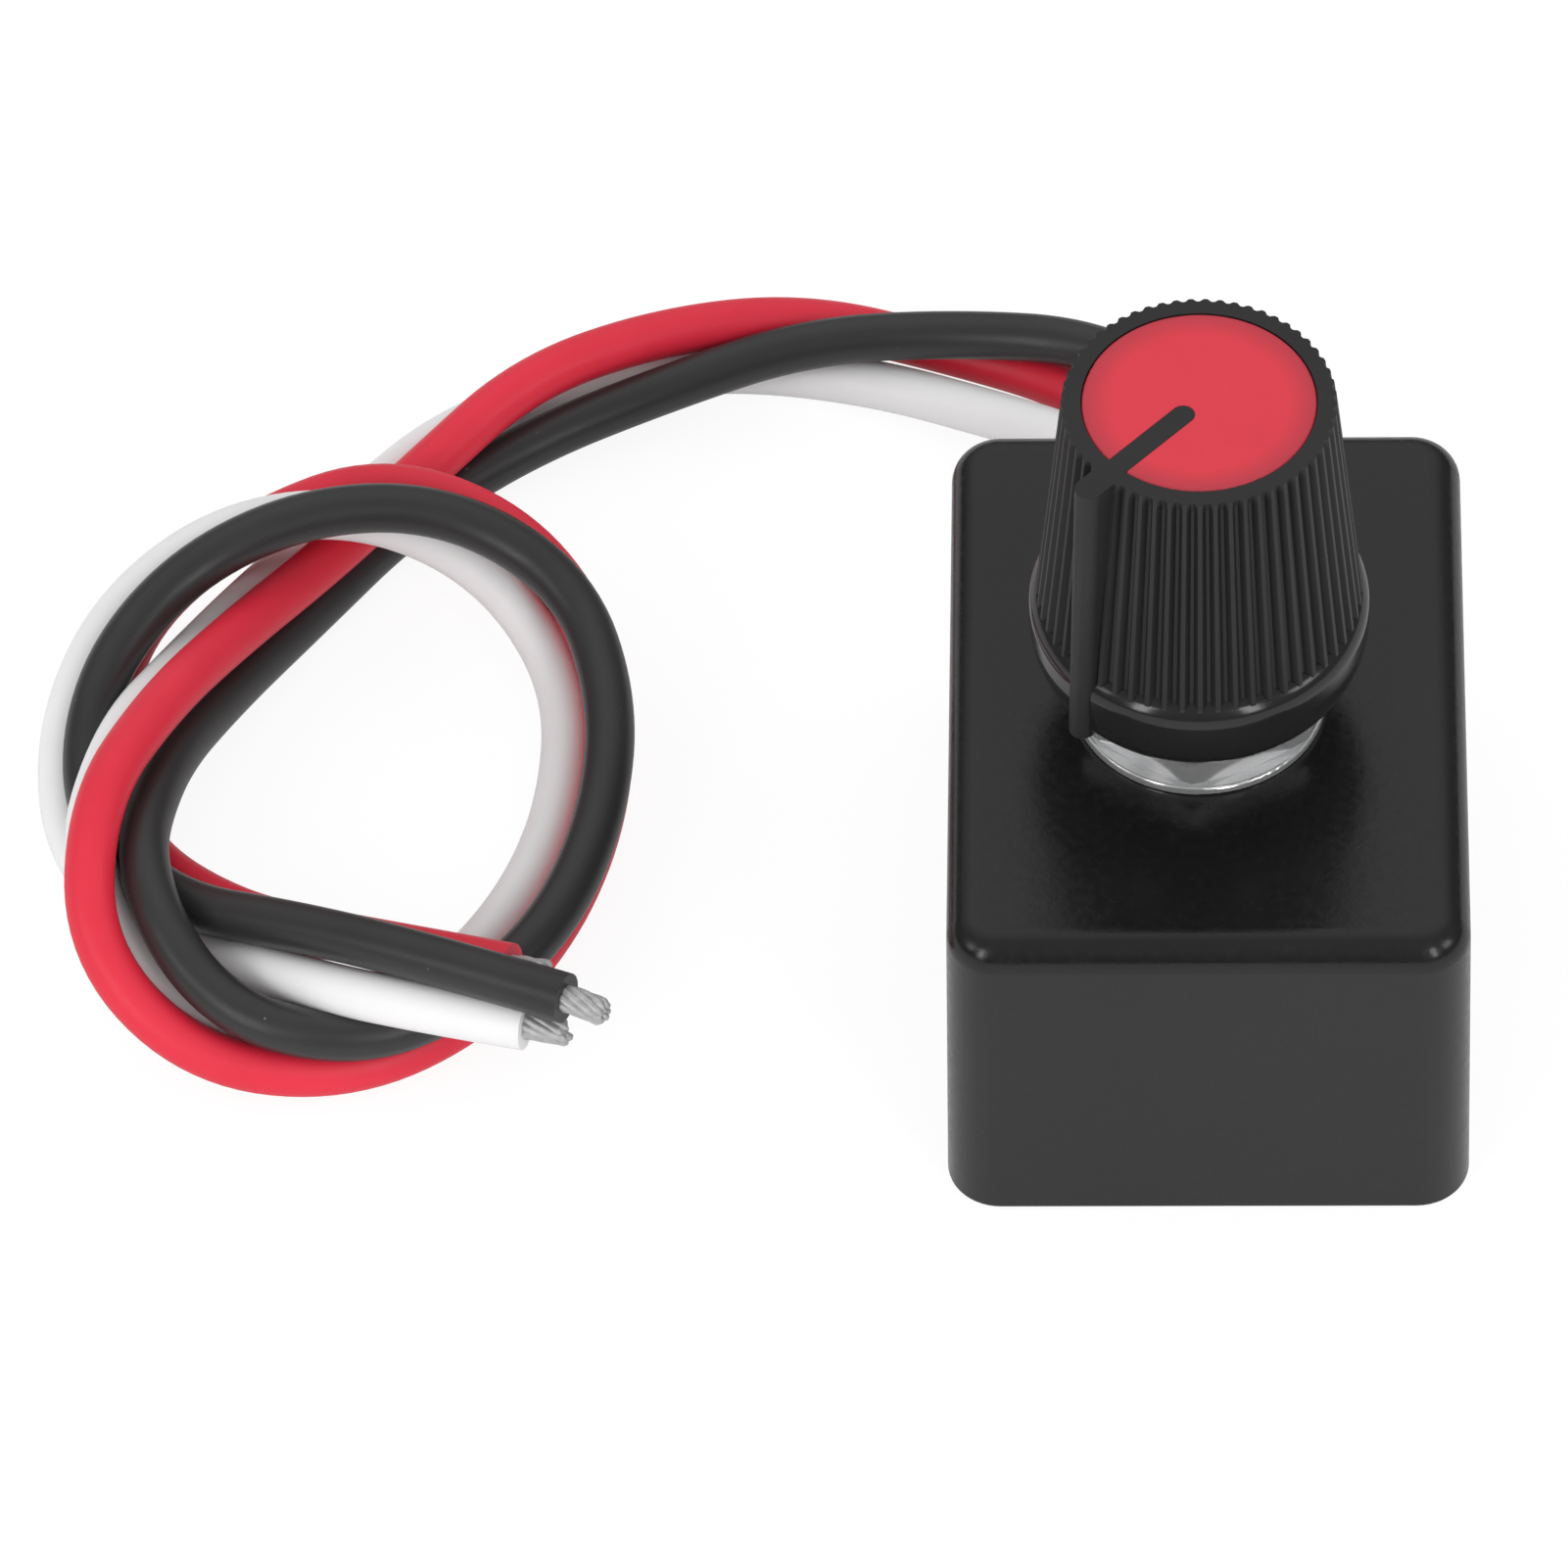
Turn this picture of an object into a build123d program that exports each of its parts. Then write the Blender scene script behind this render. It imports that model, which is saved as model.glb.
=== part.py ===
from build123d import *
import math
import os

# In-line rotary dimmer for low-voltage lights, in millimetres.
# Z is up, the foot of the box is at z = 0, the front is at -Y and the leads leave at +Y.

# Housing
box_w = 23.4            # foot, along X
box_d = 31.1            # foot, along Y
box_h = 18.0
draft = 0.7             # degrees, on all four walls
corner_r = 2.4
top_fillet = 1.45
wall = 1.6
roof = 1.6
inner_corner_r = 0.9
foot_fillet = 0.25

# Base cover
lid_t = 1.5
lid_lip = 0.8           # housing wall left outside the lid
lid_gap = 0.05
lid_chamfer = 0.3
post_d = 3.0
post_inset_x = 2.8      # from the board's edges
post_inset_y = 4.8

# Circuit board
board_side_gap = 0.8
board_front_gap = 0.85
board_back_gap = 1.45
board_w = box_w - 2 * (wall + board_side_gap)
board_d = box_d - 2 * wall - board_front_gap - board_back_gap
board_y = (board_front_gap - board_back_gap) / 2
board_t = 1.2
board_top = 5.55
board_corner = 1.0
rib_t = 1.0             # ribs on the side walls that hold the board down
rib_bite = 0.4          # how far a rib laps over the board
rib_spread = 16.0

# Potentiometer
bush_x = -0.35
bush_in = 14.8          # from the front of the foot to the shaft
bush_y = bush_in - box_d / 2
bush_d = 7.0
bush_proud = 5.6        # bush length above the plate
bush_chamfer = 0.4
shaft_d = 6.0
shaft_play = 0.03
shaft_reach = 15.0      # shaft length above the plate
plate_t = 0.8
can_d = 16.6
can_t = 0.35
can_h = 6.4
tab_w = 3.0
tab_turns = (-20, 45, 135, 200)     # degrees from +X, clear of the tongue
lug_w = 2.4             # locating tab of the plate
lug_t = 1.0
lug_h = 1.0
lug_r = 6.9
hole_play = 0.1
wafer_t = 1.2
wafer_play = 0.15
tongue_w = 13.0
tongue_reach = 11.2     # from the shaft to the tongue's end
print_t = 0.1
track_r_in = 5.0
track_r_out = 6.5
ring_r_in = 3.6
ring_r_out = 4.4
terminal_pitch = 5.0
terminal_w = 1.0
terminal_t = 0.4
terminal_reach = 10.9
rivet_reach = 9.6
rivet_d = 1.2
rivet_head_d = 1.9
rivet_head_t = 0.3
pin_tail = 0.9
rotor_r = 5.9
rotor_t = 1.7
rotor_hub_r = 3.45
rotor_drop = 1.3        # gap from the printed ring down to the rotor disc
hub_gap = 0.2
tail_r = 2.5            # shaft inside the rotor
tail_flat = 2.0
tail_below = 0.6
stop_half = 15.0        # degrees
stop_play = 0.5
stop_r_in = 6.35
stop_r_out = 7.6
stop_gap = 0.2
rotor_lug_r = 7.3
travel = 300.0          # degrees
contact_t = 0.15
contact_w = 0.6
contact_gap = 0.1
finger_run = 2.6
finger_tip = 0.5
clip_t = 0.4
clip_r = 3.9
clip_gap = 0.1
clip_slack = 0.05
clip_mouth = 50.0       # degrees
groove_r = 2.6
spline_teeth = 18
spline_root = 2.7
spline_len = 7.0
slit_w = 1.0
slit_len = 6.0

# Washer and nut
washer_d = 11.3
washer_t = 0.5
washer_round = 0.12
nut_flats = 10.0
nut_t = 2.0
nut_turn = 26.5         # degrees, a corner near the front
thread_fit = 0.02

# Knob
knob_gap = 0.4          # above the nut
knob_h = 17.0
foot_r = 6.15
bulge_r = 7.5
bulge_low_z = 3.0
bulge_z = 3.85
shoulder_r = 1.1        # round shoulder from the bulge in to the ribs
crest_low_r = 7.12      # rib crests, at bulge_z plus rib_start
rim_r = 5.95
rib_count = 57
rib_depth = 0.32
rib_depth_rim = 0.14    # the grooves run out shallow at the rim
rib_fade = 0.6
rib_turn = 4.9          # degrees
rib_start = 1.35
rib_crest = 0.26        # share of the pitch
rib_root = 0.22
knob_wall_r_low = 5.4
knob_wall_r_top = 4.55
knob_cavity_h = 13.0
hub_r = 4.0
hub_lift = 2.4          # hub's lower end above the knob's foot
bore_play = 0.03
bore_spare = 0.6
web_t = 0.8
web_count = 3
pointer_turn = 44.0     # degrees clockwise from the front, seen from above
pointer_w = 1.0
pointer_start = 1.0
marker_w = 1.2
marker_r_top = 7.45     # crest of the rounded rib
marker_r_low = 8.0
marker_lift = 1.4
marker_root_r = 5.7
cap_r = 5.12
cap_t = 1.2
cap_edge = 0.15
cap_fit = 0.02

# Leads
lead_d = 2.3
lead_pitch = 2.8
lead_hole_play = 0.15
lead_inset = 2.35       # from the back wall to the solder joint
tip_d = 1.25
tip_len = 2.4
tip_round = 0.3
joint_r = 1.15
joint_h = 1.75
joint_top_r = 0.3
bead_w = 11.0
bead_t = 1.9
bead_up = 1.2           # bead above the leads

# Board parts
mosfet_w = 6.5
mosfet_d = 6.0
mosfet_h = 2.1
mosfet_at = (-4.6, 1.6)
mosfet_tab_t = 0.5
mosfet_leg_w = 0.8
mosfet_leg_pitch = 4.6
chip_w = 3.9
chip_d = 4.9
chip_h = 1.5
chip_at = (4.6, -3.0)
chip_pitch = 1.27
chip_pin_w = 0.42
chip_pin_t = 0.22
chip_span = 6.0
chip_lift = 0.1
diode_size = (4.3, 2.6, 2.0)
diode_at = (4.6, 2.6)
electro_d = 4.0
electro_h = 5.4
electro_in_y = 2.8      # from the board's back edge
electro_foot = 0.5
electro_groove = 0.2
small_size = (2.0, 1.25, 0.6)
small_cap_size = (2.0, 1.25, 0.9)
resistor_at = [(-1.2, -7.6), (1.6, -7.6), (4.4, -7.6)]
ceramic_in_x = 1.9      # the outer one, from the board's left edge
end_band = 0.4

# Places that follow
plate_top = box_h - roof
plate_low = plate_top - plate_t
wafer_low = plate_low - wafer_t
print_low = wafer_low - print_t
rotor_top = print_low - rotor_drop
rotor_low = rotor_top - rotor_t
can_low = plate_low - can_h
washer_top = box_h + washer_t
nut_top = washer_top + nut_t
bush_top = plate_top + bush_proud
shaft_top = plate_top + shaft_reach
clip_low = bush_top + clip_gap
knob_low = nut_top + knob_gap
knob_top = knob_low + knob_h
board_low = board_top - board_t
lead_r = lead_d / 2
lead_z = board_top + lead_r + 0.05
lead_start_y = box_d / 2 - wall - lead_inset
lead_exit_y = box_d / 2 - 0.05
lead_x = {"white": -lead_pitch, "red": 0.0, "black": lead_pitch}
electro_x = (lead_pitch + joint_r + box_w / 2 - wall) / 2    # between the joint and the wall
electro_at = (electro_x, board_y + board_d / 2 - electro_in_y)
ceramic_at = [(-4.8, -7.6), (ceramic_in_x - board_w / 2, -7.6)]
axis_at = Location((bush_x, bush_y, 0))

os.makedirs("parts", exist_ok=True)
made = {}


def keep(name, shape):
    shape = shape.clean() if hasattr(shape, "clean") else shape
    shape.label = name
    export_step(shape, f"parts/{name}.step")
    made[name] = shape
    return shape


def block(x0, x1, y0, y1, z0, z1):
    return Pos((x0 + x1) / 2, (y0 + y1) / 2, (z0 + z1) / 2) * Box(x1 - x0, y1 - y0, z1 - z0)


def rod(radius, z0, z1):
    return Pos(0, 0, (z0 + z1) / 2) * Cylinder(radius, z1 - z0)


def tube(r_out, r_in, z0, z1):
    return rod(r_out, z0, z1) - rod(r_in, z0 - 1, z1 + 1)


def sector(r_out, middle, half, z0, z1):
    # Pie slice about the Z axis, its middle direction and half angle in degrees
    reach = r_out / math.cos(math.radians(min(half, 60)))
    corners = [(0, 0)]
    for turn in (-half, -half / 2, 0, half / 2, half):
        angle = math.radians(middle + turn)
        corners.append((2 * reach * math.cos(angle), 2 * reach * math.sin(angle)))
    slice_face = make_face(Polyline(*corners, close=True))
    return (Pos(0, 0, z0) * extrude(slice_face, z1 - z0)) & rod(r_out, z0, z1)


def inset_at(z):
    return z * math.tan(math.radians(draft))


# Housing

def drafted_box(width, depth, radius, z0, z1):
    cut = inset_at(z0)
    face = RectangleRounded(width - 2 * cut, depth - 2 * cut, radius)
    return Pos(0, 0, z0) * extrude(face, z1 - z0, taper=draft)


def lead_hole(x, radius, y0, y1):
    turned = Location((x, (y0 + y1) / 2, lead_z), (90, 0, 0))
    return turned * Cylinder(radius, y1 - y0)


def hold_down_rib(side, y):
    outer = box_w / 2 - wall / 2
    reach = board_w / 2 - rib_bite
    x0, x1 = (reach, outer) if side > 0 else (-outer, -reach)
    return block(x0, x1, y - rib_t / 2, y + rib_t / 2, board_top, box_h - roof / 2)


def make_housing():
    shell = drafted_box(box_w, box_d, corner_r, 0, box_h)
    shell = fillet(shell.edges().group_by(Axis.Z)[-1], top_fillet)
    shell = fillet(shell.edges().group_by(Axis.Z)[0], foot_fillet)
    outside = drafted_box(box_w - wall, box_d - wall, corner_r - wall / 2, 0, box_h - roof / 2)
    shell -= drafted_box(box_w - 2 * wall, box_d - 2 * wall, inner_corner_r, 0, plate_top)
    for side in (-1, 1):
        for y in (-rib_spread / 2, rib_spread / 2):
            shell += hold_down_rib(side, board_y + y) & outside
    lip = 2 * (lid_lip + lid_gap)
    rebate = RectangleRounded(box_w - 2 * lid_lip, box_d - 2 * lid_lip, corner_r - lid_lip)
    shell -= extrude(rebate, lid_t)
    shell -= axis_at * rod(bush_d / 2 + hole_play, plate_top - 1, box_h + 1)
    pocket = lug_t / 2 + hole_play
    shell -= axis_at * block(-lug_r - pocket, -lug_r + pocket, -lug_w / 2 - hole_play,
                             lug_w / 2 + hole_play, plate_top - 1, plate_top + lug_h + hole_play)
    for x in lead_x.values():
        shell -= lead_hole(x, lead_r + lead_hole_play, box_d / 2 - wall - 1, box_d / 2 + 1)
    return shell


def make_base_cover():
    shrink = 2 * (lid_lip + lid_gap)
    plate = extrude(RectangleRounded(box_w - shrink, box_d - shrink, corner_r - lid_lip), lid_t)
    plate = chamfer(plate.edges().group_by(Axis.Z)[0], lid_chamfer)
    for sx in (-1, 1):
        for sy in (-1, 1):
            x = sx * (board_w / 2 - post_inset_x)
            y = board_y + sy * (board_d / 2 - post_inset_y)
            plate += Pos(x, y, 0) * rod(post_d / 2, lid_t / 2, board_low)
    return plate


# Potentiometer

def make_bush_plate():
    plate = rod(can_d / 2, plate_low, plate_top)
    for turn in tab_turns:
        notch = block(can_d / 2 - can_t - hole_play, can_d, -tab_w / 2 - hole_play,
                      tab_w / 2 + hole_play, plate_low - 1, plate_top + 1)
        plate -= Rot(0, 0, turn) * notch
    barrel = rod(bush_d / 2, plate_low, bush_top)
    barrel = chamfer(barrel.edges().group_by(Axis.Z)[-1], bush_chamfer)
    plate += barrel
    plate += block(-lug_r - lug_t / 2, -lug_r + lug_t / 2, -lug_w / 2, lug_w / 2,
                   plate_top - plate_t / 2, plate_top + lug_h)
    plate -= rod(shaft_d / 2 + shaft_play, plate_low - 1, bush_top + 1)
    return axis_at * plate


def terminal_spots():
    return {"low": -terminal_pitch, "wiper": 0.0, "high": terminal_pitch}


def make_wafer():
    radius = can_d / 2 - can_t - wafer_play
    wafer = rod(radius, wafer_low, plate_low)
    wafer += block(-tongue_w / 2, tongue_w / 2, -tongue_reach, 0, wafer_low, plate_low)
    wafer -= rod(shaft_d / 2 + 0.35, wafer_low - 1, plate_low + 1)
    for x in terminal_spots().values():
        wafer -= Pos(x, -rivet_reach, 0) * rod(rivet_d / 2 + thread_fit, wafer_low - 1, plate_low + 1)
    return axis_at * wafer


def pad_leg(x, y_in):
    half = rivet_head_d / 2
    leg = block(x - half, x + half, -rivet_reach - half, y_in, print_low, wafer_low)
    hole = Pos(x, -rivet_reach, 0) * rod(rivet_d / 2 + thread_fit, print_low - 1, wafer_low + 1)
    return leg - hole


def make_track():
    # Printed arc, open at the terminals, with a leg to each outer terminal
    arc = tube(track_r_out, track_r_in, print_low, wafer_low)
    arc -= sector(track_r_out + 1, -90, (360 - travel) / 2, print_low - 1, wafer_low + 1)
    inner_y = -math.sqrt(track_r_out ** 2 - terminal_pitch ** 2) - 0.3
    for x in (-terminal_pitch, terminal_pitch):
        arc += pad_leg(x, inner_y)
    return axis_at * arc


def make_collector():
    ring = tube(ring_r_out, ring_r_in, print_low, wafer_low)
    ring += pad_leg(0, -(ring_r_in + ring_r_out) / 2)
    return axis_at * ring


def make_terminal(x):
    # Riveted to the wafer's tongue, then bent down through the board
    foot = block(x - terminal_w / 2, x + terminal_w / 2, -terminal_reach - terminal_t / 2,
                 -rivet_reach, print_low - terminal_t, print_low)
    leg = block(x - terminal_w / 2, x + terminal_w / 2, -terminal_reach - terminal_t / 2,
                -terminal_reach + terminal_t / 2, board_low - pin_tail, print_low)
    bent = foot + leg
    outer = bent.edges().filter_by(Axis.X).sort_by(Axis.Z)[-2:].sort_by(Axis.Y)[0]
    bent = fillet(outer, terminal_t)
    bent += Pos(x, -rivet_reach, 0) * rod(rivet_head_d / 2, print_low - terminal_t, print_low)
    bent += Pos(x, -rivet_reach, 0) * rod(rivet_d / 2, print_low - terminal_t / 2, plate_low)
    bent += Pos(x, -rivet_reach, 0) * rod(rivet_head_d / 2, plate_low, plate_low + rivet_head_t)
    return axis_at * bent


def shaft_tail(z0, z1):
    # Twin flats that drive the rotor
    return rod(tail_r, z0, z1) & block(-tail_flat, tail_flat, -tail_r, tail_r, z0, z1)


def rest_turn():
    # Rotor lug direction at rest: it leans on the can's stop, clockwise of the front
    return -90 - (360 - travel) / 2


def make_rotor():
    disc = rod(rotor_r, rotor_low, rotor_top)
    half = (360 - travel) / 2 - stop_half - stop_play
    disc += sector(rotor_lug_r, rest_turn(), half, rotor_low, rotor_top)
    disc += rod(rotor_hub_r, rotor_top, print_low - hub_gap)
    disc -= shaft_tail(rotor_low - 1, print_low)
    return axis_at * disc


def make_wiper():
    # Sprung ring with one finger for the track and one for the collector
    ring = tube(rotor_r - 0.3, rotor_hub_r + 0.05, rotor_top, rotor_top + contact_t)
    rise = print_low - contact_gap - rotor_top
    for radius, turn in ((0.5 * (track_r_in + track_r_out), 0), (0.5 * (ring_r_in + ring_r_out), 180)):
        path = Polyline((0, contact_t / 2), (finger_run, rise - contact_t / 2),
                        (finger_run + finger_tip, rise - contact_t * 2))
        strip = make_face(offset(path, contact_t / 2))
        finger = extrude(strip, contact_w / 2, both=True)
        ring += Rot(0, 0, turn) * Pos(-finger_run / 2, radius, rotor_top) * Rot(90, 0, 0) * finger
    return axis_at * ring


def make_can():
    cup = rod(can_d / 2, can_low, plate_low) - rod(can_d / 2 - can_t, can_low + can_t, plate_low + 1)
    cup = fillet(cup.edges().group_by(Axis.Z)[0], can_t)
    slot = tongue_w / 2 + hole_play
    cup -= block(-slot, slot, -can_d, 0, print_low - terminal_t - hole_play, plate_low + 1) - rod(
        can_d / 2 - can_t, can_low - 1, plate_low + 2)
    stop_top = rotor_top + stop_gap
    stop = sector(stop_r_out, -90, stop_half, can_low + can_t / 2, stop_top)
    cup += stop - rod(stop_r_in, can_low - 1, stop_top + 1)
    for turn in tab_turns:
        tab = block(can_d / 2 - can_t, can_d, -tab_w / 2, tab_w / 2, plate_low - 0.5, plate_top - 0.05)
        cup += (Rot(0, 0, turn) * tab) & rod(can_d / 2, plate_low - 1, plate_top)
    return axis_at * cup


def toothed_face(crest_r, root_r, teeth):
    corners = []
    for i in range(teeth):
        for share, radius in ((0, crest_r), (0.3, crest_r), (0.5, root_r), (0.8, root_r)):
            angle = 2 * math.pi * (i + share) / teeth
            corners.append((radius * math.cos(angle), radius * math.sin(angle)))
    return make_face(Polyline(*corners, close=True))


def make_shaft():
    spline_low = shaft_top - spline_len
    shaft = rod(shaft_d / 2, print_low - hub_gap, spline_low)
    shaft += shaft_tail(rotor_low - tail_below, print_low - hub_gap)
    teeth = toothed_face(shaft_d / 2, spline_root, spline_teeth)
    shaft += Pos(0, 0, spline_low) * extrude(teeth, spline_len)
    shaft -= tube(shaft_d, groove_r, clip_low - clip_slack, clip_low + clip_t + clip_slack)
    shaft -= block(-shaft_d, shaft_d, -slit_w / 2, slit_w / 2, shaft_top - slit_len, shaft_top + 1)
    return axis_at * shaft


def make_clip():
    ring = tube(clip_r, groove_r + clip_slack, clip_low, clip_low + clip_t)
    ring -= sector(clip_r + 1, 90, clip_mouth / 2, clip_low - 1, clip_low + 2)
    return axis_at * ring


# Washer and nut

def make_washer():
    ring = tube(washer_d / 2, bush_d / 2 + hole_play, box_h, washer_top)
    rims = [e for e in ring.edges().filter_by(GeomType.CIRCLE) if e.radius > washer_d / 2 - 0.01]
    return axis_at * fillet(rims, washer_round)


def make_nut():
    hexagon = RegularPolygon(nut_flats / 2, 6, major_radius=False, rotation=nut_turn)
    body = Pos(0, 0, washer_top) * extrude(hexagon, nut_t)
    corner = nut_flats / 2 / math.cos(math.radians(30))
    fall = (corner - nut_flats / 2) * math.tan(math.radians(30))
    half = [(0, 0), (nut_flats / 2, 0), (corner, fall), (corner, nut_t - fall),
            (nut_flats / 2, nut_t), (0, nut_t)]
    turned = revolve(Plane.XZ * make_face(Polyline(*half, close=True)), Axis.Z)
    body &= Pos(0, 0, washer_top) * turned
    body -= rod(bush_d / 2 + thread_fit, washer_top - 1, nut_top + 1)
    return axis_at * body


# Knob

def crest_r_at(z):
    # z above the knob's foot
    low_z = bulge_z + rib_start
    share = (z - low_z) / (knob_h - low_z)
    return crest_low_r + (rim_r - crest_low_r) * share


def rib_face(radius, depth):
    root = radius - depth
    corners = []
    for i in range(rib_count):
        for share, r in ((-rib_crest / 2, radius), (rib_crest / 2, radius),
                         (0.5 - rib_root / 2, root), (0.5 + rib_root / 2, root)):
            angle = 2 * math.pi * (i + share) / rib_count
            corners.append((r * math.cos(angle), r * math.sin(angle)))
    return Rot(0, 0, rib_turn) * make_face(Polyline(*corners, close=True))


def ribbed_cone():
    levels = [(bulge_z, rib_depth), (knob_h - rib_fade, rib_depth), (knob_h, rib_depth_rim)]
    rings = [Pos(0, 0, z) * rib_face(crest_r_at(z), depth) for z, depth in levels]
    return loft(rings, ruled=True)


def knob_skirt():
    # Smooth bulge at the foot, below and behind the ribs
    foot = Line((0, 0), (foot_r, 0))
    top_r = bulge_r - shoulder_r
    top_z = bulge_z + shoulder_r
    low = TangentArc((bulge_r, bulge_low_z), (foot_r, 0), tangent=(0, -1))
    side = Line((bulge_r, bulge_low_z), (bulge_r, bulge_z))
    high = TangentArc((bulge_r, bulge_z), (top_r, top_z), tangent=(0, 1))
    lid = Line((top_r, top_z), (0, top_z))
    core = Line((0, top_z), (0, 0))
    return revolve(Plane.XZ * make_face([foot, low, side, high, lid, core]), Axis.Z)


def knob_cavity():
    half = [(0, -1), (knob_wall_r_low, -1), (knob_wall_r_low, 0), (knob_wall_r_top, knob_cavity_h),
            (0, knob_cavity_h)]
    hollow = revolve(Plane.XZ * make_face(Polyline(*half, close=True)), Axis.Z)
    hollow -= rod(hub_r, hub_lift, knob_cavity_h + 1)
    for i in range(web_count):
        web = block(0, bulge_r, -web_t / 2, web_t / 2, hub_lift, knob_cavity_h + 1)
        hollow -= Rot(0, 0, 360 * i / web_count + 30) * web
    return hollow


def marker_section(reach, z):
    # Bar with a rounded outer edge, drawn along +X
    centre = reach - marker_w / 2
    bar = Pos((marker_root_r + centre) / 2, 0) * Rectangle(centre - marker_root_r, marker_w)
    return Pos(0, 0, z) * (bar + Pos(centre, 0) * Circle(marker_w / 2))


def marker_rib():
    # Raised rib in line with the pointer
    ends = [marker_section(marker_r_low, marker_lift), marker_section(marker_r_top, knob_h)]
    return loft(ends, ruled=True)


def pointer_bar(width, z0, z1):
    # Straight bar with a round inner end, drawn along +X
    bar = block(pointer_start, cap_r + 0.3, -width / 2, width / 2, z0, z1)
    return bar + Pos(pointer_start, 0, 0) * rod(width / 2, z0, z1)


def pointer_at():
    return Rot(0, 0, -90 - pointer_turn)


def make_knob():
    body = ribbed_cone() + knob_skirt()
    body += pointer_at() * marker_rib()
    body -= knob_cavity()
    bore_top = shaft_top - knob_low + bore_spare
    bore = toothed_face(shaft_d / 2 + bore_play, spline_root + bore_play, spline_teeth)
    body -= Pos(0, 0, hub_lift - 1) * extrude(bore, bore_top - hub_lift + 1)
    body -= rod(shaft_d / 2 + bore_play, -1, shaft_top - spline_len - knob_low + 0.3)
    body -= rod(cap_r, knob_h - cap_t, knob_h + 1)
    body += pointer_at() * (pointer_bar(pointer_w, knob_h - cap_t, knob_h) & rod(cap_r + 0.2, 0, knob_h))
    return axis_at * Pos(0, 0, knob_low) * body


def make_cap():
    disc = rod(cap_r - cap_fit, knob_top - cap_t, knob_top)
    disc = fillet(disc.edges().group_by(Axis.Z)[-1], cap_edge)
    disc -= pointer_at() * pointer_bar(pointer_w + 2 * cap_fit, knob_top - cap_t - 1, knob_top + 1)
    return axis_at * disc


# Circuit board and its parts

def make_board():
    outline = RectangleRounded(board_w, board_d, board_corner)
    board = Pos(0, board_y, board_low) * extrude(outline, board_t)
    for x in terminal_spots().values():
        slot = block(x - terminal_w / 2 - hole_play, x + terminal_w / 2 + hole_play,
                     -terminal_reach - terminal_t / 2 - hole_play,
                     -terminal_reach + terminal_t / 2 + hole_play, board_low - 1, board_top + 1)
        board -= axis_at * slot
    return board


def on_board(place, shape):
    return Pos(place[0], place[1], board_top) * shape


def make_mosfet():
    body = block(-mosfet_w / 2, mosfet_w / 2, -mosfet_d / 2, mosfet_d / 2, mosfet_tab_t, mosfet_h)
    body = chamfer(body.edges().group_by(Axis.Z)[-1], 0.25)
    half_w = mosfet_w / 2 - 0.6
    tab = block(-half_w, half_w, -mosfet_d / 2 + 1, mosfet_d / 2 + 1.1, 0, mosfet_tab_t)
    keep("mosfet_body", on_board(mosfet_at, body))
    metal = tab
    for x in (-mosfet_leg_pitch / 2, mosfet_leg_pitch / 2):
        shin = block(x - mosfet_leg_w / 2, x + mosfet_leg_w / 2, -mosfet_d / 2 - 0.5, -mosfet_d / 2,
                     0, mosfet_h / 2)
        toe = block(x - mosfet_leg_w / 2, x + mosfet_leg_w / 2, -mosfet_d / 2 - 2, -mosfet_d / 2 - 0.4,
                    0, mosfet_tab_t)
        metal += shin + toe
    keep("mosfet_tab", on_board(mosfet_at, metal))


def make_chip():
    body = block(-chip_w / 2, chip_w / 2, -chip_d / 2, chip_d / 2, chip_lift, chip_h)
    body = chamfer(body.edges().group_by(Axis.Z)[-1], 0.2)
    body -= Pos(-chip_w / 2 + 0.8, chip_d / 2 - 0.8, 0) * rod(0.35, chip_h - 0.1, chip_h + 1)
    keep("timer_chip", on_board(chip_at, body))
    pins = None
    for i in range(4):
        y = (i - 1.5) * chip_pitch
        for side in (-1, 1):
            shin = block(chip_w / 2, chip_w / 2 + 0.45, -chip_pin_w / 2, chip_pin_w / 2,
                         chip_h / 2 - chip_pin_t / 2, chip_h / 2 + chip_pin_t / 2)
            leg = block(chip_w / 2 + 0.45 - chip_pin_t, chip_w / 2 + 0.45, -chip_pin_w / 2,
                        chip_pin_w / 2, 0, chip_h / 2 + chip_pin_t / 2)
            toe = block(chip_w / 2 + 0.45 - chip_pin_t, chip_span / 2, -chip_pin_w / 2,
                        chip_pin_w / 2, 0, chip_pin_t)
            pin = Pos(0, y, 0) * Rot(0, 0, 0 if side > 0 else 180) * (shin + leg + toe)
            pins = pin if pins is None else pins + pin
    keep("chip_pins", on_board(chip_at, pins))


def make_diode():
    length, width, height = diode_size
    body = block(-length / 2, length / 2, -width / 2, width / 2, 0, height)
    body = chamfer(body.edges().group_by(Axis.Z)[-1], 0.2)
    for side in (-1, 1):
        x = side * length / 2
        low_x, high_x = sorted((x, x + side * 0.4))
        body += block(low_x, high_x, -width / 4, width / 4, 0, height / 2)
    keep("diode", on_board(diode_at, body))


def make_electrolytic():
    low = electro_foot
    half = [(0, low), (electro_d / 2 - 0.2, low), (electro_d / 2, low + 0.2), (electro_d / 2, low + 0.9),
            (electro_d / 2 - electro_groove, low + 1.2), (electro_d / 2, low + 1.5),
            (electro_d / 2, electro_h - 0.25), (electro_d / 2 - 0.25, electro_h), (0, electro_h)]
    can = revolve(Plane.XZ * make_face(Polyline(*half, close=True)), Axis.Z)
    keep("electrolytic_capacitor", on_board(electro_at, can))
    foot = block(-electro_d / 2, electro_d / 2, -electro_d / 2, electro_d / 2, 0, low)
    foot = chamfer(foot.edges().filter_by(Axis.Z).sort_by(Axis.Y)[:2], 0.7)
    keep("capacitor_feet", on_board(electro_at, foot))


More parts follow.
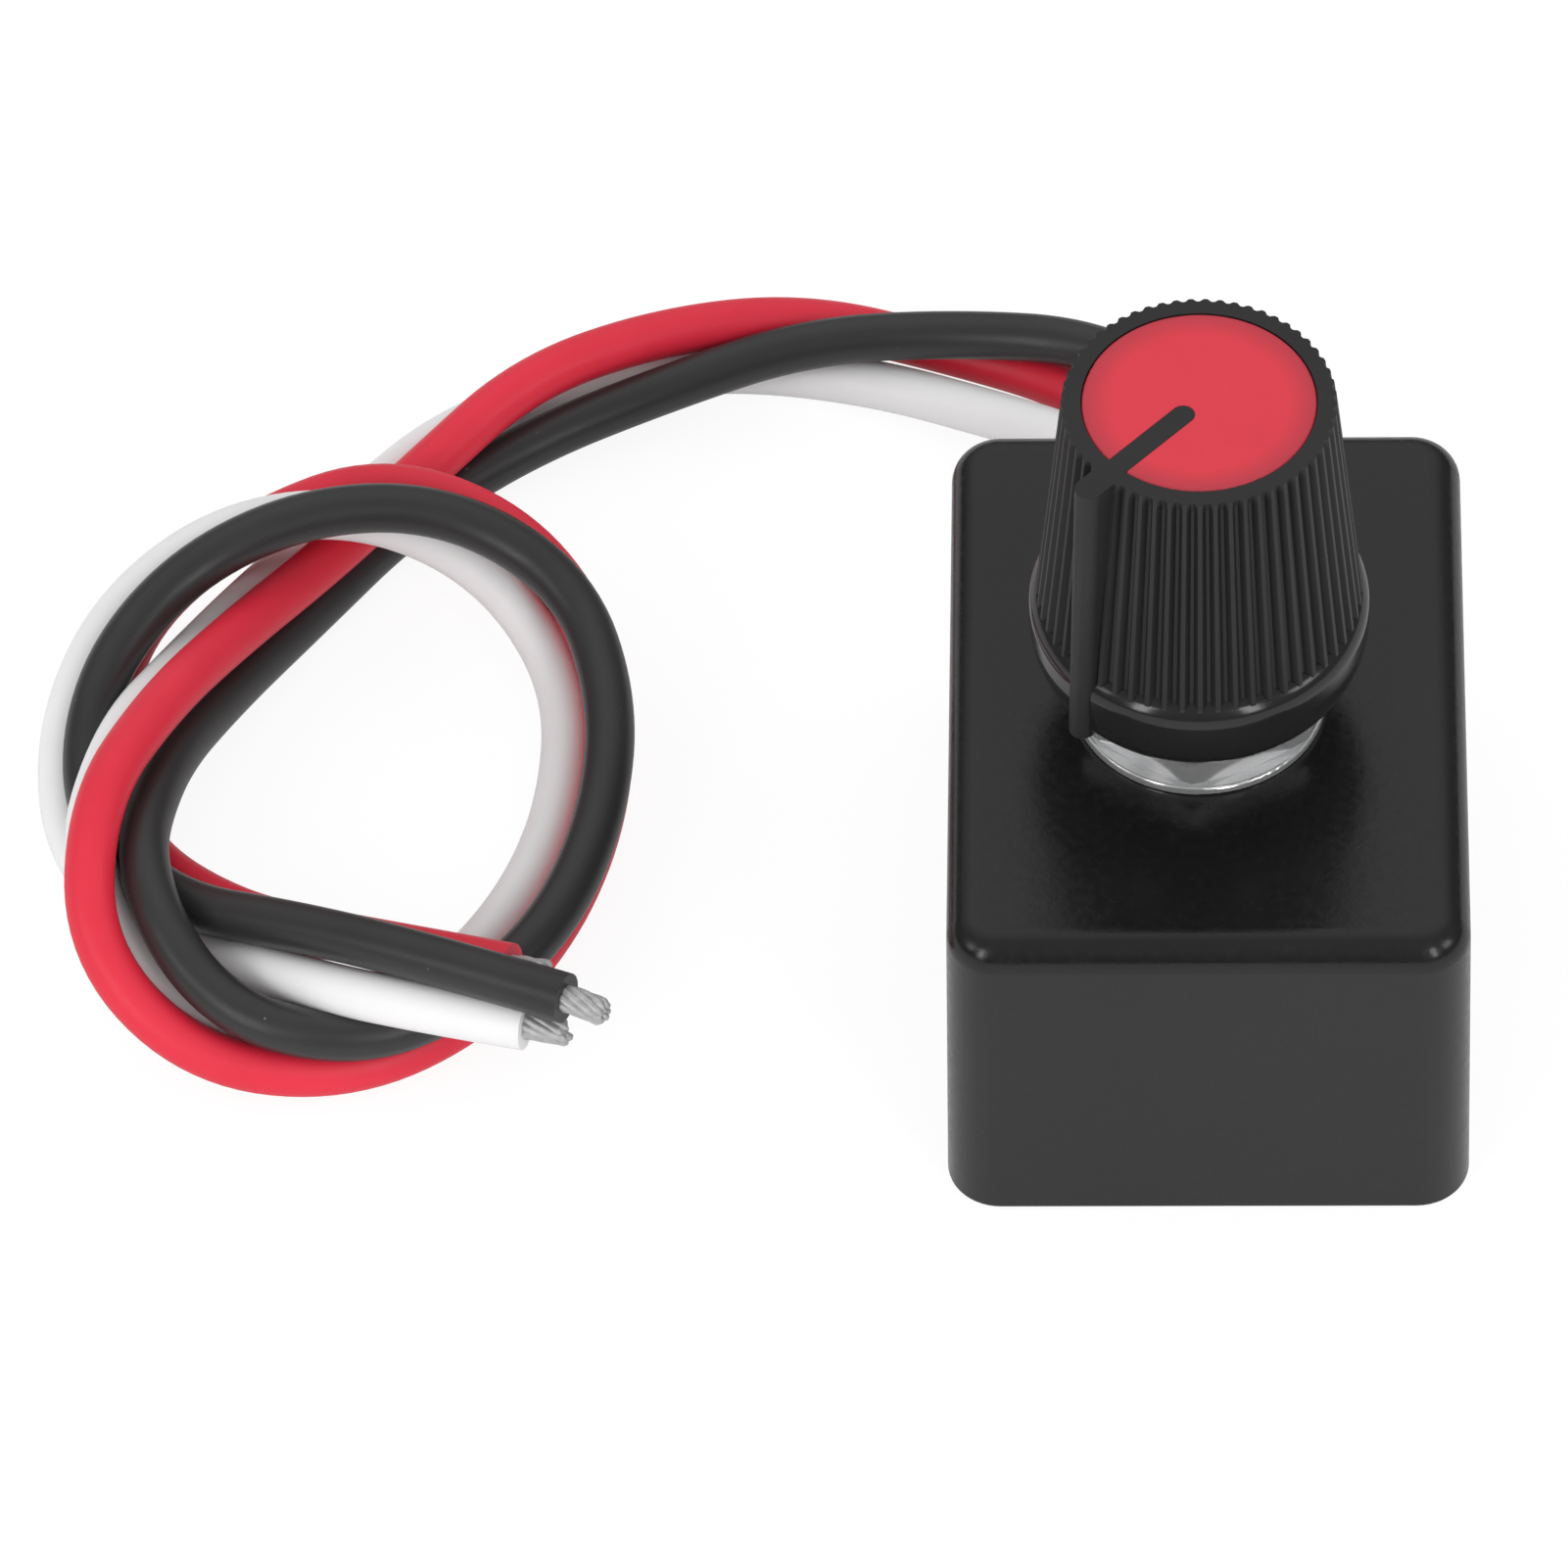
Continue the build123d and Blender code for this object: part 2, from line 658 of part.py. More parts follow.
def chip_block(size):
    # Small surface part with metal ends that stand a little proud
    length, width, height = size
    half = length / 2 - end_band
    core = block(-half, half, -width / 2, width / 2, 0.02, height - 0.03)
    for side in (-1, 1):
        a, b = side * length / 2, side * (length / 2 - end_band)
        core += block(min(a, b), max(a, b), -width / 2, width / 2, 0, height)
    return Rot(0, 0, 90) * core


def make_small_parts():
    for i, place in enumerate(resistor_at):
        keep(f"resistor_{i + 1}", on_board(place, chip_block(small_size)))
    for i, place in enumerate(ceramic_at):
        keep(f"ceramic_capacitor_{i + 1}", on_board(place, chip_block(small_cap_size)))


# Leads: hand-chosen route points from the board to the insulation's end

def route(colour):
    x = lead_x[colour]
    inside = [(x, lead_start_y, lead_z), (x, lead_exit_y, lead_z)]
    back = lead_exit_y - drawn_exit_y
    return inside + [(px, py + back, pz) for px, py, pz in routes[colour]]


drawn_exit_y = 15.5     # where the back wall was when the points were chosen
routes = {
    "black": [
        (2.7, 21.0, 6.7), (0.1, 27.3, 5.4), (-4.9, 32.2, 4.7), (-11.8, 33.5, 3.9),
        (-18.8, 33.2, 3.7), (-25.5, 31.3, 2.5), (-32.1, 28.6, 1.6), (-37.6, 24.2, 1.2),
        (-41.9, 18.4, 1.2), (-45.4, 12.3, 2.7), (-47.8, 6.0, 5.1), (-48.6, -1.2, 6.5),
        (-44.9, -7.5, 4.4), (-38.4, -9.0, 3.5), (-33.0, -6.1, 3.5), (-29.5, -1.8, 3.6),
        (-27.5, 3.9, 4.3), (-27.2, 10.1, 5.1), (-29.2, 16.1, 6.3), (-34.8, 19.1, 8.1),
        (-41.4, 18.6, 8.7), (-47.5, 16.2, 7.0), (-51.3, 10.9, 5.2), (-51.4, 4.4, 3.3),
        (-47.1, -1.0, 3.8), (-41.2, -4.2, 6.3), (-34.9, -7.6, 8.2), (-28.6, -10.5, 8.9),
    ],
    "red": [
        (-0.3, 20.0, 6.4), (-2.2, 26.1, 4.0), (-6.0, 31.6, 2.1), (-12.2, 34.7, 1.4),
        (-19.0, 35.6, 2.8), (-25.7, 33.9, 3.7), (-32.0, 30.7, 4.0), (-36.6, 25.3, 3.6),
        (-41.0, 19.8, 3.5), (-44.7, 14.0, 5.3), (-47.7, 8.0, 7.6), (-50.5, 1.5, 8.4),
        (-50.6, -4.9, 5.4), (-45.8, -8.7, 2.1), (-38.8, -9.0, 1.2), (-32.7, -5.2, 1.2),
        (-28.9, 0.9, 1.5), (-27.3, 7.8, 2.3), (-27.9, 14.7, 3.6), (-31.7, 20.3, 5.2),
        (-38.1, 22.6, 6.4), (-44.5, 21.4, 4.3), (-49.9, 17.6, 2.1), (-51.2, 10.8, 1.2),
        (-49.2, 4.0, 1.4), (-44.1, -1.0, 2.9), (-37.8, -4.1, 4.9), (-31.3, -6.7, 6.3),
    ],
    "white": [
        (-3.1, 19.5, 6.2), (-5.0, 25.7, 4.6), (-9.8, 29.9, 2.1), (-15.9, 32.9, 1.2),
        (-22.8, 33.9, 1.2), (-29.6, 32.8, 1.2), (-35.8, 29.8, 1.3), (-40.4, 24.6, 1.2),
        (-44.3, 19.0, 2.2), (-47.1, 13.1, 4.3), (-49.9, 7.1, 6.2), (-51.3, 0.4, 5.5),
        (-48.2, -4.8, 2.6), (-42.0, -7.1, 1.2), (-35.7, -4.7, 1.2), (-31.6, 0.7, 1.2),
        (-29.6, 7.0, 1.2), (-29.5, 13.7, 1.8), (-33.1, 18.6, 4.4), (-39.1, 20.2, 6.8),
        (-45.6, 19.6, 6.4), (-50.8, 15.9, 4.5), (-53.0, 9.9, 2.7), (-52.1, 3.4, 1.2),
        (-47.0, -1.2, 1.3), (-42.1, -5.1, 3.9), (-37.0, -8.4, 6.1), (-30.5, -10.2, 6.6),
    ],
}


def lead_radii(points):
    radii = []
    for a, b, c in zip(points, points[1:], points[2:]):
        into, out = Vector(b) - Vector(a), Vector(c) - Vector(b)
        turn = math.radians(into.get_angle(out))
        radii.append(0.45 * min(into.length, out.length) / math.tan(turn / 2))
    return radii


def make_lead(colour):
    points = route(colour)
    radii = lead_radii(points)
    path = FilletPolyline(*points, radius=radii)
    start = Plane(origin=points[0], z_dir=Vector(points[1]) - Vector(points[0]))
    lead = sweep(start * Circle(lead_r), path=path)
    expected = math.pi * lead_r ** 2 * path.length
    share = lead.volume / expected
    print(f"{colour} lead {path.length:.1f} mm long, volume {share:.4f} of section x length")
    print("bend radii", " ".join(f"{r:.1f}" for r in radii))
    keep(f"{colour}_lead", lead)
    ending = Vector(points[-1]) - Vector(points[-2])
    tip = Cylinder(tip_d / 2, tip_len, align=(Align.CENTER, Align.CENTER, Align.MIN))
    tip = fillet(tip.edges().group_by(Axis.Z)[-1], tip_round)
    keep(f"{colour}_lead_tip", Plane(origin=points[-1], z_dir=ending).location * tip)


def make_joint(colour):
    # Solder dome on the board, cut flat where the insulation starts
    x = lead_x[colour]
    swell = ThreePointArc((joint_r, 0), (joint_r * 0.8, joint_h * 0.6), (joint_top_r, joint_h))
    lines = Polyline((joint_top_r, joint_h), (0, joint_h), (0, 0), (joint_r, 0))
    dome = revolve(Plane.XZ * make_face([swell, *lines.edges()]), Axis.Z)
    cut = joint_r * 0.6
    flat = block(-2 * joint_r, 2 * joint_r, cut, 2 * joint_r, -joint_h, 2 * joint_h)
    dome = Pos(x, lead_start_y - cut, board_top) * (dome - flat)
    keep(f"{colour}_joint", dome)


def make_bead():
    # Glue bead over the leads, against the back wall
    inner = box_d / 2 - wall - inset_at(lead_z + lead_r + bead_up) - 0.02
    bead = block(-bead_w / 2, bead_w / 2, inner - bead_t, inner, board_top, lead_z + lead_r + bead_up)
    bead = fillet(bead.edges().group_by(Axis.Z)[-1].filter_by(Axis.X), 0.6)
    for x in lead_x.values():
        bead -= lead_hole(x, lead_r + 0.01, inner - bead_t - 1, inner + 1)
    keep("strain_bead", bead)


keep("housing", make_housing())
keep("base_cover", make_base_cover())
keep("bush_plate", make_bush_plate())
keep("pot_wafer", make_wafer())
keep("resistive_track", make_track())
keep("collector_ring", make_collector())
for end, spot in terminal_spots().items():
    keep(f"terminal_{end}", make_terminal(spot))
keep("pot_rotor", make_rotor())
keep("wiper_contact", make_wiper())
keep("pot_can", make_can())
keep("pot_shaft", make_shaft())
keep("shaft_clip", make_clip())
keep("washer", make_washer())
keep("hex_nut", make_nut())
keep("knob", make_knob())
keep("knob_cap", make_cap())
keep("circuit_board", make_board())
make_mosfet()
make_chip()
make_diode()
make_electrolytic()
make_small_parts()
for colour in lead_x:
    make_lead(colour)
    make_joint(colour)
make_bead()
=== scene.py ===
import math
import random

import bmesh
import bpy
from mathutils import Matrix, Vector


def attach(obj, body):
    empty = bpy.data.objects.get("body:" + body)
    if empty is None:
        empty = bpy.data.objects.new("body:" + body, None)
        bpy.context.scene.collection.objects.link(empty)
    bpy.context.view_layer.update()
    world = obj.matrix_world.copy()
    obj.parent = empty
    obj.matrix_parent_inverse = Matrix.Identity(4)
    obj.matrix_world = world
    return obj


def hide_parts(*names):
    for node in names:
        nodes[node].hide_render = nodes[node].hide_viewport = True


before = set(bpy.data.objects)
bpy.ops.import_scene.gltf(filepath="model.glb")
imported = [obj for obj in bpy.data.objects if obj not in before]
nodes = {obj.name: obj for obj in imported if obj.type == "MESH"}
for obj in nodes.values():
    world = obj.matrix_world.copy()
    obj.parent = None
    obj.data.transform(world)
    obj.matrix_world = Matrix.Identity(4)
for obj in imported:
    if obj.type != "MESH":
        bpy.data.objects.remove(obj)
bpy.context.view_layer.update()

MM = 0.001
KNOB_AXIS = (-0.35 * MM, -0.75 * MM)


# Camera at the photograph's angle: angles in degrees, lens and sensor in millimetres

CAMERA_AT = Vector((-1.5009, -334.1695, 417.623)) * MM
CAMERA_AZIMUTH = -3.0002
CAMERA_ELEVATION = 50.5384
CAMERA_ROLL = -2.5045
CAMERA_LENS = 268.76
CAMERA_SENSOR = 36
CAMERA_CLIP = (0.01, 20)


def make_camera():
    azimuth = math.radians(CAMERA_AZIMUTH)
    elevation = math.radians(CAMERA_ELEVATION)
    roll = math.radians(CAMERA_ROLL)
    ahead = Vector((math.sin(azimuth) * math.cos(elevation), math.cos(azimuth) * math.cos(elevation),
                    -math.sin(elevation)))
    level = Vector((math.cos(azimuth), -math.sin(azimuth), 0))
    upright = level.cross(ahead)
    right = math.cos(roll) * level + math.sin(roll) * upright
    up = -math.sin(roll) * level + math.cos(roll) * upright
    data = bpy.data.cameras.new("camera")
    data.lens = CAMERA_LENS
    data.sensor_width = CAMERA_SENSOR
    data.clip_start = CAMERA_CLIP[0]
    data.clip_end = CAMERA_CLIP[1]
    camera = bpy.data.objects.new("camera", data)
    turn = Matrix((right, up, -ahead)).transposed()
    camera.matrix_world = Matrix.Translation(CAMERA_AT) @ turn.to_4x4()
    bpy.context.scene.collection.objects.link(camera)
    bpy.context.scene.camera = camera


# Shader helpers. Most values of a noise texture lie in NOISE_SPAN

NOISE_SPAN = (0.3, 0.7)


def new_material(name):
    material = bpy.data.materials.new(name)
    material.use_nodes = True
    tree = material.node_tree
    return material, tree, tree.nodes["Principled BSDF"]


def add(tree, kind, **values):
    node = tree.nodes.new(kind)
    for key, value in values.items():
        setattr(node, key, value)
    return node


def math_node(tree, operation, a, b=None, clamp=False):
    node = add(tree, "ShaderNodeMath", operation=operation, use_clamp=clamp)
    for socket, value in zip(node.inputs, (a, b)):
        if value is None:
            continue
        if isinstance(value, (int, float)):
            socket.default_value = value
        else:
            tree.links.new(value, socket)
    return node.outputs[0]


def root_of_squares(tree, a, b):
    squares = math_node(tree, "ADD", math_node(tree, "MULTIPLY", a, a), math_node(tree, "MULTIPLY", b, b))
    return math_node(tree, "SQRT", squares)


def object_coords(tree):
    return add(tree, "ShaderNodeTexCoord").outputs["Object"]


def noise_value(tree, coords, scale, detail=3.0, rough=0.55):
    node = add(tree, "ShaderNodeTexNoise")
    node.inputs["Scale"].default_value = scale
    node.inputs["Detail"].default_value = detail
    node.inputs["Roughness"].default_value = rough
    tree.links.new(coords, node.inputs["Vector"])
    return node.outputs["Fac"]


def remap(tree, value, low, high, out_low, out_high):
    node = add(tree, "ShaderNodeMapRange")
    node.inputs["From Min"].default_value = low
    node.inputs["From Max"].default_value = high
    node.inputs["To Min"].default_value = out_low
    node.inputs["To Max"].default_value = out_high
    tree.links.new(value, node.inputs["Value"])
    return node.outputs["Result"]


def two_tones(tree, factor, dark, light, span=NOISE_SPAN):
    node = add(tree, "ShaderNodeValToRGB")
    for element, place, colour in zip(node.color_ramp.elements, span, (dark, light)):
        element.position = place
        element.color = (*colour, 1)
    tree.links.new(factor, node.inputs["Fac"])
    return node.outputs["Color"]


def mix_colour(tree, factor, colour, other):
    # The node's colour sockets are its inputs 6 and 7 and its output 2
    node = add(tree, "ShaderNodeMix", data_type="RGBA")
    tree.links.new(factor, node.inputs["Factor"])
    tree.links.new(colour, node.inputs[6])
    node.inputs[7].default_value = (*other, 1)
    return node.outputs[2]


def bump(tree, shader, layers):
    # Layers are (height, strength, distance in metres), fed one into the next
    last = None
    for height, strength, distance in layers:
        node = add(tree, "ShaderNodeBump")
        node.inputs["Strength"].default_value = strength
        node.inputs["Distance"].default_value = distance
        tree.links.new(height, node.inputs["Height"])
        if last is not None:
            tree.links.new(last, node.inputs["Normal"])
        last = node.outputs["Normal"]
    tree.links.new(last, shader.inputs["Normal"])


def grained_plastic(name, dark, light, rough=(0.34, 0.44), grain=0.12 * MM):
    # Grain is the size of the finest texture, in metres
    material, tree, shader = new_material(name)
    coords = object_coords(tree)
    broad = noise_value(tree, coords, scale=90, detail=4, rough=0.6)
    fine = noise_value(tree, coords, scale=1 / grain, detail=2, rough=0.6)
    pores = noise_value(tree, coords, scale=0.35 / grain, detail=3, rough=0.7)
    colour = two_tones(tree, broad, dark, light)
    tree.links.new(colour, shader.inputs["Base Color"])
    tree.links.new(remap(tree, pores, *NOISE_SPAN, *rough), shader.inputs["Roughness"])
    bump(tree, shader, [(fine, 0.25, 0.02 * MM), (pores, 0.25, 0.03 * MM)])
    return material


def plain_metal(name, dark, light, rough=(0.2, 0.35), scale=700, strength=0.15, stretch=(1, 1, 1),
                metallic=1.0):
    material, tree, shader = new_material(name)
    mapping = add(tree, "ShaderNodeMapping")
    mapping.inputs["Scale"].default_value = stretch
    tree.links.new(object_coords(tree), mapping.inputs["Vector"])
    coords = mapping.outputs["Vector"]
    cloud = noise_value(tree, coords, scale=scale, detail=4, rough=0.6)
    fine = noise_value(tree, coords, scale=scale * 9, detail=3, rough=0.6)
    colour = two_tones(tree, cloud, dark, light)
    tree.links.new(colour, shader.inputs["Base Color"])
    tree.links.new(remap(tree, fine, *NOISE_SPAN, *rough), shader.inputs["Roughness"])
    shader.inputs["Metallic"].default_value = metallic
    bump(tree, shader, [(fine, strength, 0.01 * MM)])
    return material


# Leads: the same route points as the CAD, in millimetres

LEAD_D = 2.3 * MM
LEAD_START = {"white": (-2.8, 11.6, 6.75), "red": (0.0, 11.6, 6.75), "black": (2.8, 11.6, 6.75)}
ROUTES = {
    "black": [
        (2.8, 15.5, 6.75),
        (2.7, 21.0, 6.7), (0.1, 27.3, 5.4), (-4.9, 32.2, 4.7), (-11.8, 33.5, 3.9),
        (-18.8, 33.2, 3.7), (-25.5, 31.3, 2.5), (-32.1, 28.6, 1.6), (-37.6, 24.2, 1.2),
        (-41.9, 18.4, 1.2), (-45.4, 12.3, 2.7), (-47.8, 6.0, 5.1), (-48.6, -1.2, 6.5),
        (-44.9, -7.5, 4.4), (-38.4, -9.0, 3.5), (-33.0, -6.1, 3.5), (-29.5, -1.8, 3.6),
        (-27.5, 3.9, 4.3), (-27.2, 10.1, 5.1), (-29.2, 16.1, 6.3), (-34.8, 19.1, 8.1),
        (-41.4, 18.6, 8.7), (-47.5, 16.2, 7.0), (-51.3, 10.9, 5.2), (-51.4, 4.4, 3.3),
        (-47.1, -1.0, 3.8), (-41.2, -4.2, 6.3), (-34.9, -7.6, 8.2), (-28.6, -10.5, 8.9),
    ],
    "red": [
        (0.0, 15.5, 6.75),
        (-0.3, 20.0, 6.4), (-2.2, 26.1, 4.0), (-6.0, 31.6, 2.1), (-12.2, 34.7, 1.4),
        (-19.0, 35.6, 2.8), (-25.7, 33.9, 3.7), (-32.0, 30.7, 4.0), (-36.6, 25.3, 3.6),
        (-41.0, 19.8, 3.5), (-44.7, 14.0, 5.3), (-47.7, 8.0, 7.6), (-50.5, 1.5, 8.4),
        (-50.6, -4.9, 5.4), (-45.8, -8.7, 2.1), (-38.8, -9.0, 1.2), (-32.7, -5.2, 1.2),
        (-28.9, 0.9, 1.5), (-27.3, 7.8, 2.3), (-27.9, 14.7, 3.6), (-31.7, 20.3, 5.2),
        (-38.1, 22.6, 6.4), (-44.5, 21.4, 4.3), (-49.9, 17.6, 2.1), (-51.2, 10.8, 1.2),
        (-49.2, 4.0, 1.4), (-44.1, -1.0, 2.9), (-37.8, -4.1, 4.9), (-31.3, -6.7, 6.3),
    ],
    "white": [
        (-2.8, 15.5, 6.75),
        (-3.1, 19.5, 6.2), (-5.0, 25.7, 4.6), (-9.8, 29.9, 2.1), (-15.9, 32.9, 1.2),
        (-22.8, 33.9, 1.2), (-29.6, 32.8, 1.2), (-35.8, 29.8, 1.3), (-40.4, 24.6, 1.2),
        (-44.3, 19.0, 2.2), (-47.1, 13.1, 4.3), (-49.9, 7.1, 6.2), (-51.3, 0.4, 5.5),
        (-48.2, -4.8, 2.6), (-42.0, -7.1, 1.2), (-35.7, -4.7, 1.2), (-31.6, 0.7, 1.2),
        (-29.6, 7.0, 1.2), (-29.5, 13.7, 1.8), (-33.1, 18.6, 4.4), (-39.1, 20.2, 6.8),
        (-45.6, 19.6, 6.4), (-50.8, 15.9, 4.5), (-53.0, 9.9, 2.7), (-52.1, 3.4, 1.2),
        (-47.0, -1.2, 1.3), (-42.1, -5.1, 3.9), (-37.0, -8.4, 6.1), (-30.5, -10.2, 6.6),
    ],
}
SKIN_DEPTH = 0.8 * MM
DUST_COLOUR = (0.4, 0.4, 0.4)


def rubber(name, dark, light, rough, dust=0.0, soft=0.0, specular=0.5):
    # Dust is how far the specks cover the colour, soft how much light goes under the skin
    material, tree, shader = new_material(name)
    coords = object_coords(tree)
    broad = noise_value(tree, coords, scale=120, detail=3, rough=0.6)
    fine = noise_value(tree, coords, scale=6000, detail=3, rough=0.6)
    ripple = noise_value(tree, coords, scale=700, detail=2, rough=0.5)
    colour = two_tones(tree, broad, dark, light)
    if dust:
        specks = add(tree, "ShaderNodeTexVoronoi")
        specks.inputs["Scale"].default_value = 900
        tree.links.new(coords, specks.inputs["Vector"])
        spot = remap(tree, specks.outputs["Distance"], 0.03, 0.07, dust, 0.0)
        keep = remap(tree, noise_value(tree, coords, scale=260, detail=1), 0.56, 0.62, 0.0, 1.0)
        mask = math_node(tree, "MULTIPLY", spot, keep, clamp=True)
        colour = mix_colour(tree, mask, colour, DUST_COLOUR)
    tree.links.new(colour, shader.inputs["Base Color"])
    tree.links.new(remap(tree, fine, *NOISE_SPAN, *rough), shader.inputs["Roughness"])
    shader.inputs["Specular IOR Level"].default_value = specular
    if soft:
        shader.inputs["Subsurface Weight"].default_value = soft
        shader.inputs["Subsurface Radius"].default_value = (SKIN_DEPTH, SKIN_DEPTH, SKIN_DEPTH)
        shader.inputs["Subsurface Scale"].default_value = 1.0
    bump(tree, shader, [(fine, 0.12, 0.01 * MM), (ripple, 0.12, 0.05 * MM)])
    return material


def lead_curve(colour, bevel=LEAD_D / 2):
    points = [LEAD_START[colour]] + ROUTES[colour]
    data = bpy.data.curves.new(f"{colour}_insulation", "CURVE")
    data.dimensions = "3D"
    spline = data.splines.new("NURBS")
    spline.points.add(len(points) - 1)
    for point, place in zip(spline.points, points):
        point.co = (*(v * MM for v in place), 1)
    spline.order_u = 3
    spline.use_endpoint_u = True
    spline.resolution_u = 10
    data.bevel_depth = bevel
    data.bevel_resolution = 7
    data.use_fill_caps = True
    curve = bpy.data.objects.new(f"{colour}_insulation", data)
    bpy.context.scene.collection.objects.link(curve)
    return curve


def centre_line(colour):
    # Points of the smooth line itself, read from the lead's own spline
    plain = lead_curve(colour, bevel=0)
    bpy.context.view_layer.update()
    graph = bpy.context.evaluated_depsgraph_get()
    mesh = bpy.data.meshes.new_from_object(plain.evaluated_get(graph))
    line = [v.co.copy() for v in mesh.vertices]
    bpy.data.meshes.remove(mesh)
    data = plain.data
    bpy.data.objects.remove(plain)
    bpy.data.curves.remove(data)
    return line


def mesh_object(name, mesh, material, body):
    mesh.polygons.foreach_set("use_smooth", [True] * len(mesh.polygons))
    obj = bpy.data.objects.new(name, mesh)
    bpy.context.scene.collection.objects.link(obj)
    obj.data.materials.append(material)
    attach(obj, body)
    return obj


# Bare ends: a ring of strands around a smaller inner ring, all twisted together

OUTER_STRANDS = 9
OUTER_RING_R = 0.42 * MM
INNER_STRANDS = 5
INNER_RING_R = OUTER_RING_R * 0.45
STRAND_R = 0.23 * MM
STRAND_ROWS = 14
STRAND_SIDES = 8
STRAND_TWIST = 1.5
STRAND_SWELL = 0.10
STRAND_END_TAPER = 0.55
SHORTEST_STRAND = 0.86
TIP_LENGTH = 2.4 * MM
TIP_START_INSIDE = 0.3 * MM
TIP_DROOP = {"black": 0.35 * MM, "red": 0.0, "white": 0.1 * MM}


def full_turn(count):
    return [2 * math.pi * i / count for i in range(count)]


def make_tip(colour, line, material):
    end = line[-1]
    along = (line[-1] - line[-2]).normalized()
    side = along.orthogonal().normalized()
    other = along.cross(side)
    rng = random.Random(sum(map(ord, colour)))
    bm = bmesh.new()
    places = [(OUTER_RING_R, start) for start in full_turn(OUTER_STRANDS)]
    places += [(INNER_RING_R, start) for start in full_turn(INNER_STRANDS)]
    for radius, start in places:
        length = TIP_LENGTH * rng.uniform(SHORTEST_STRAND, 1.0)
        loops = []
        for row in range(STRAND_ROWS + 1):
            share = row / STRAND_ROWS
            turn = start + share * STRAND_TWIST
            swell = 1 + STRAND_SWELL * math.sin(3 * share + start)
            centre = end + along * (length * share - TIP_START_INSIDE)
            centre += (side * math.cos(turn) + other * math.sin(turn)) * radius * swell
            centre.z -= TIP_DROOP[colour] * share * share
            thick = STRAND_R * (1.0 if row < STRAND_ROWS else STRAND_END_TAPER)
            loop = []
            for angle in full_turn(STRAND_SIDES):
                outward = side * math.cos(angle) + other * math.sin(angle)
                loop.append(bm.verts.new(centre + outward * thick))
            loops.append(loop)
        for a, b in zip(loops, loops[1:]):
            for k in range(STRAND_SIDES):
                after = (k + 1) % STRAND_SIDES
                bm.faces.new((a[k], a[after], b[after], b[k]))
        bm.faces.new(list(reversed(loops[0])))
        bm.faces.new(loops[-1])
    mesh = bpy.data.meshes.new(f"{colour}_strands")
    bm.to_mesh(mesh)
    bm.free()
    tip = mesh_object(f"{colour}_strands", mesh, material, "dimmer_box")
    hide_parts(f"{colour}_lead_tip")
    return tip


def make_leads():
    looks = {
        "black": rubber("black_rubber", (0.023, 0.023, 0.024), (0.029, 0.029, 0.030),
                        rough=(0.34, 0.44), dust=0.4),
        "red": rubber("red_rubber", (0.68, 0.020, 0.045), (0.75, 0.026, 0.056),
                      rough=(0.4, 0.52), soft=0.1, specular=0.35),
        "white": rubber("white_rubber", (0.78, 0.775, 0.78), (0.82, 0.815, 0.82),
                        rough=(0.4, 0.52), soft=0.3),
    }
    tinned = plain_metal("tinned_wire", (0.5, 0.5, 0.51), (0.72, 0.71, 0.71), rough=(0.45, 0.6),
                         scale=2500, strength=0.2, metallic=0.75)
    for colour in ("black", "red", "white"):
        lead = lead_curve(colour)
        lead.data.materials.append(looks[colour])
        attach(lead, "dimmer_box")
        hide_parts(f"{colour}_lead")
        tip = make_tip(colour, centre_line(colour), tinned)


# Box, knob and metal parts keep their CAD shapes and get their finishes here

def housing_material():
    material, tree, shader = new_material("housing_plastic")
    coords = object_coords(tree)
    broad = noise_value(tree, coords, scale=70, detail=4, rough=0.6)
    grain = noise_value(tree, coords, scale=5200, detail=2, rough=0.5)
    orange_peel = noise_value(tree, coords, scale=1500, detail=2, rough=0.5)
    specks = noise_value(tree, coords, scale=2400, detail=1, rough=0.5)
    colour = two_tones(tree, broad, (0.0075, 0.0075, 0.0077), (0.0095, 0.0095, 0.0097))
    tree.links.new(colour, shader.inputs["Base Color"])
    tree.links.new(remap(tree, specks, 0.35, 0.7, 0.19, 0.28), shader.inputs["Roughness"])
    bump(tree, shader, [(grain, 0.22, 0.02 * MM), (orange_peel, 0.16, 0.03 * MM)])
    return material


# The knob's foot is a smooth bulge whose section follows an arc; the matt ribs start beyond it

BULGE_CENTRE_R = 6.4 * MM
BULGE_CENTRE_Z = 24.75 * MM
BULGE_ARC_R = 1.1 * MM
POLISH_ENDS = 0.03 * MM
MATT_STARTS = 0.08 * MM

# Painted shade: the insert's red deepens between these distances from the axis, a shade painted on the
# cap's rounded rim

CAP_RIM_SHADE = (3.9 * MM, 5.15 * MM)


def around_knob(tree, coords):
    # Distance from the knob's axis, and height
    split = add(tree, "ShaderNodeSeparateXYZ")
    tree.links.new(coords, split.inputs[0])
    dx = math_node(tree, "SUBTRACT", split.outputs["X"], KNOB_AXIS[0])
    dy = math_node(tree, "SUBTRACT", split.outputs["Y"], KNOB_AXIS[1])
    return root_of_squares(tree, dx, dy), split.outputs["Z"]


